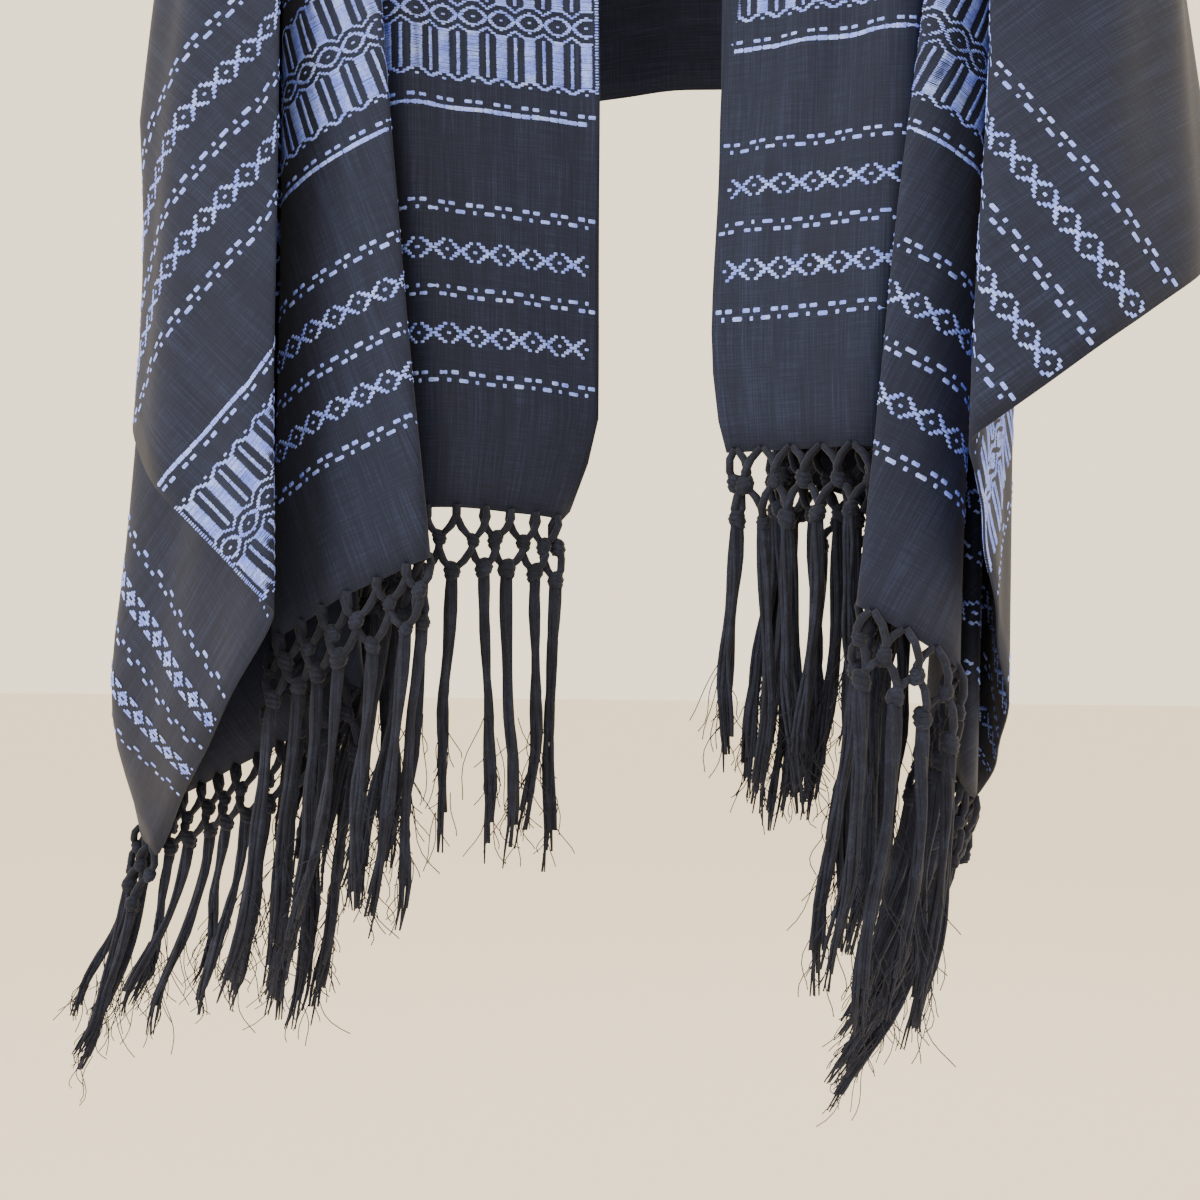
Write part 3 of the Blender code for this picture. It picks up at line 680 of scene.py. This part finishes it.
def fringe(cone, lean_of, length_of):
    tubes = Tubes()
    count = 47
    pitch = CLOTH_W / count
    r = np.random.default_rng(5 if cone.side == "left" else 8)
    s_edge = (np.arange(count) + 0.5) * pitch

    def hem(s):
        s = np.clip(np.atleast_1d(np.asarray(s, dtype=float)), 0.002, CLOTH_W - 0.002)
        p, normal = cone.flat(s, np.full_like(s, 0.0003))
        return p, normal

    edge, normal = hem(s_edge)
    middle, middle_n = hem((s_edge[:-1] + s_edge[1:]) / 2)
    row1 = middle + np.array([0, 0, -0.0145]) + r.normal(0, 0.0009, middle.shape)
    row1 = np.vstack([edge[:1] + [0, 0, -0.0145], row1, edge[-1:] + [0, 0, -0.0145]])
    row2 = edge + np.array([0, 0, -0.0300]) + r.normal(0, 0.0012, edge.shape)
    leans = np.array([lean_of(s) for s in s_edge])
    row1[1:-1, 0] += 0.010 * (leans[:-1] + leans[1:]) / 2
    row2[:, 0] += 0.026 * leans
    for i in range(count):
        # cloth edge to first knots
        for other, side in ((i, -1), (i + 1, 1)):
            a, b = edge[i] + np.array([0, 0, 0.0012]), row1[other]
            for k in range(2):
                off = np.array([side * 0.0010, (k - 0.5) * 0.0016, 0.0])
                bow = np.array([side * 0.0018, 0.0, 0.0])
                pts = [a + off * 0.5, a * 0.7 + b * 0.3 + off + bow, a * 0.35 + b * 0.65 + off + bow, b + off * 0.4]
                tubes.tube(pts, [0.0016, 0.0018, 0.0018, 0.0013], 6, 0.8)
            # first knots to second knots
            a, b = row1[other], row2[i]
            for k in range(2):
                off = np.array([-side * 0.0008, (k - 0.5) * 0.0016, 0.0])
                bow = np.array([-side * 0.0016, 0.0, 0.0])
                pts = [a + off * 0.4, a * 0.68 + b * 0.32 + off + bow, a * 0.32 + b * 0.68 + off + bow, b + off * 0.4]
                tubes.tube(pts, [0.0013, 0.0018, 0.0018, 0.0014], 6, 0.8)
        tubes.knot(row2[i], 0.0042 * (1 + 0.08 * r.normal()), r.uniform(0, 6))
        # tassel
        length = length_of(s_edge[i]) * (1 + 0.07 * r.normal()) - 0.030
        length = min(length, FRINGE - 0.027)
        lean = leans[i] + 0.035 * r.normal()
        depth = 0.03 * r.normal()
        phase, sway = r.uniform(0, 6.28), 0.0035 * (0.6 + r.uniform(0, 1))
        q = np.linspace(0, 1, 15)
        core = row2[i] + np.stack([
            lean * length * q ** 1.25 + sway * (np.sin(phase + 5.2 * q) - math.sin(phase)) * q,
            depth * length * q + sway * 0.7 * (np.sin(phase * 1.7 + 4.4 * q) - math.sin(phase * 1.7)) * q,
            -length * q * (1 - 0.02 * np.abs(lean))], axis=1)
        twist = r.uniform(0, 6.28)
        spread = 0.0022 + 0.0004 * r.normal()
        for k in range(8):
            ring = twist + k * 0.785
            rad = spread * (0.55 if k % 2 else 1.0) * (0.62 + 0.5 * q)
            turn = ring + (1.4 + 0.5 * r.normal()) * q
            wob = 0.0007 * np.sin(q * (14 + 3 * r.normal()) + ring)
            pts = core + np.stack([rad * np.cos(turn) + wob, rad * np.sin(turn) * 0.75, np.zeros_like(q)], axis=1)
            m = 15 - int(r.integers(0, 3))
            radius = np.interp(q, (0, 0.1, 0.8, 1.0), (0.0015, 0.00125, 0.00105, 0.00035))
            tubes.tube(pts[:m], radius[:m], 5)
        for k in range(13):
            # frayed and stray threads
            start = int(r.integers(7, 13))
            p = core[start] + np.array([r.normal() * 0.0018, r.normal() * 0.0014, 0])
            n_pts = 8
            reach = (0.35 + 0.65 * r.uniform()) * 0.050 * (1.2 - start / 20)
            out = np.array([r.normal() * 0.30 + lean, r.normal() * 0.22, -1.0])
            out /= np.linalg.norm(out)
            curl, cp = 0.0035 * r.uniform(0.3, 1.3), r.uniform(0, 6.28)
            v = np.linspace(0, 1, n_pts)
            pts = p + out * (reach * v)[:, None] + np.stack([curl * np.sin(cp + 5 * v) * v, curl * np.cos(cp + 4 * v) * v, 0.3 * curl * np.sin(6 * v) * v], axis=1)
            pts[:, 2] = np.maximum(pts[:, 2], edge[i][2] - FRINGE - 0.006)
            tubes.tube(pts, 0.00028, 3)
    for p in row1:
        tubes.knot(p, 0.0038 * (1 + 0.08 * r.normal()), r.uniform(0, 6))
    ob = mesh_object(cone.side + "_fringe", tubes.verts, tubes.faces, strand_mat)
    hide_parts(*[cone.side + "_fringe_" + n for n in ("inner", "pleat", "under")])
    return ob


left_fringe = fringe(cones["left"], lambda s: -0.05 - 0.10 * min(s, 0.5) / 0.5 - 0.22 * max(0.0, s - 0.55) / 0.2, lambda s: 0.170 - 0.045 * max(0.0, min(1.0, (s - 0.50) / 0.15)))
right_fringe = fringe(cones["right"], lambda s: -0.02 - 0.10 * min(s, 0.5) / 0.5 - 0.38 * max(0.0, s - 0.52) / 0.2, lambda s: 0.165 - 0.030 * max(0.0, min(1.0, (s - 0.50) / 0.15)))


# ---- hanger: wood and wire -----------------------------------------------------------
def wood_material():
    mat, nodes, links, shader = new_material("hanger_wood_grain")
    coords = nodes.new("ShaderNodeTexCoord")
    mapping = node(nodes, "ShaderNodeMapping")
    mapping.inputs["Scale"].default_value = (6.0, 160.0, 160.0)
    links.new(coords.outputs["Object"], mapping.inputs[0])
    grain = node(nodes, "ShaderNodeTexNoise", Scale=1.0, Detail=5.0, Roughness=0.65)
    links.new(mapping.outputs[0], grain.inputs["Vector"])
    links.new(ramp(nodes, links, grain.outputs[0], ((0.3, (0.20, 0.115, 0.055)), (0.5, (0.38, 0.245, 0.130)), (0.7, (0.52, 0.36, 0.21)))), shader.inputs["Base Color"])
    bump = node(nodes, "ShaderNodeBump", Strength=0.25, Distance=0.0004)
    links.new(grain.outputs[0], bump.inputs["Height"])
    links.new(bump.outputs[0], shader.inputs["Normal"])
    shader.inputs["Roughness"].default_value = 0.42
    return mat


def steel_material():
    mat, nodes, links, shader = new_material("hook_wire")
    coords = nodes.new("ShaderNodeTexCoord")
    grain = node(nodes, "ShaderNodeTexNoise", Scale=300.0, Detail=3.0)
    links.new(coords.outputs["Object"], grain.inputs["Vector"])
    links.new(ramp(nodes, links, grain.outputs[0], ((0.3, (0.50, 0.50, 0.49)), (0.7, (0.66, 0.66, 0.65)))), shader.inputs["Base Color"])
    bump = node(nodes, "ShaderNodeBump", Strength=0.15, Distance=0.0002)
    links.new(grain.outputs[0], bump.inputs["Height"])
    links.new(bump.outputs[0], shader.inputs["Normal"])
    shader.inputs["Metallic"].default_value = 1.0
    shader.inputs["Roughness"].default_value = 0.3
    return mat


wood, steel = wood_material(), steel_material()
for name, mat in (("hanger_bar", wood), ("hanger_yoke", wood), ("hanger_hook", steel), ("hanger_stay_left", steel), ("hanger_stay_right", steel)):
    ob = bpy.data.objects[name]
    for s in ob.material_slots:
        s.material = mat

# ---- camera, floor and light -------------------------------------------------------
camera = bpy.data.cameras.new("camera")
camera.lens = 57.0
camera.sensor_width = 36.0
camera_ob = bpy.data.objects.new("camera", camera)
camera_ob.location = (0.1675, -0.92, BAR_Z - 0.827)
camera_ob.rotation_euler = (math.radians(90), 0.0, math.radians(12))
bpy.context.scene.collection.objects.link(camera_ob)
bpy.context.scene.camera = camera_ob

FLOOR_Z = -1.72
floor_mat, nodes, links, shader = new_material("floor")
shader.inputs["Base Color"].default_value = (0.90, 0.83, 0.72, 1.0)
shader.inputs["Roughness"].default_value = 0.9
floor_mesh = bpy.data.meshes.new("floor")
floor_mesh.from_pydata([(-12, -12, FLOOR_Z), (12, -12, FLOOR_Z), (12, 12, FLOOR_Z), (-12, 12, FLOOR_Z)], [], [(0, 1, 2, 3)])
floor_mesh.materials.append(floor_mat)
floor = bpy.data.objects.new("floor", floor_mesh)
bpy.context.scene.collection.objects.link(floor)

world = bpy.data.worlds.new("studio")
world.use_nodes = True
background = world.node_tree.nodes["Background"]
background.inputs[0].default_value = (1.0, 0.850, 0.61, 1.0)
background.inputs[1].default_value = 2.1
bpy.context.scene.world = world


def area(name, location, target, size, power, colour):
    light = bpy.data.lights.new(name, "AREA")
    light.size = size
    light.energy = power
    light.color = colour
    ob = bpy.data.objects.new(name, light)
    ob.location = location
    ob.rotation_euler = (Vector(target) - Vector(location)).to_track_quat("-Z", "Y").to_euler()
    bpy.context.scene.collection.objects.link(ob)


area("key", (-1.8, -1.9, 0.8), (0, 0, -0.9), 1.5, 58, (0.92, 0.96, 1.0))
area("fill", (2.2, -1.8, 0.0), (0, 0, -0.9), 1.8, 8, (0.90, 0.95, 1.0))
area("back", (0.5, 2.4, 0.8), (0, 0, -0.8), 1.8, 16, (0.95, 0.97, 1.0))
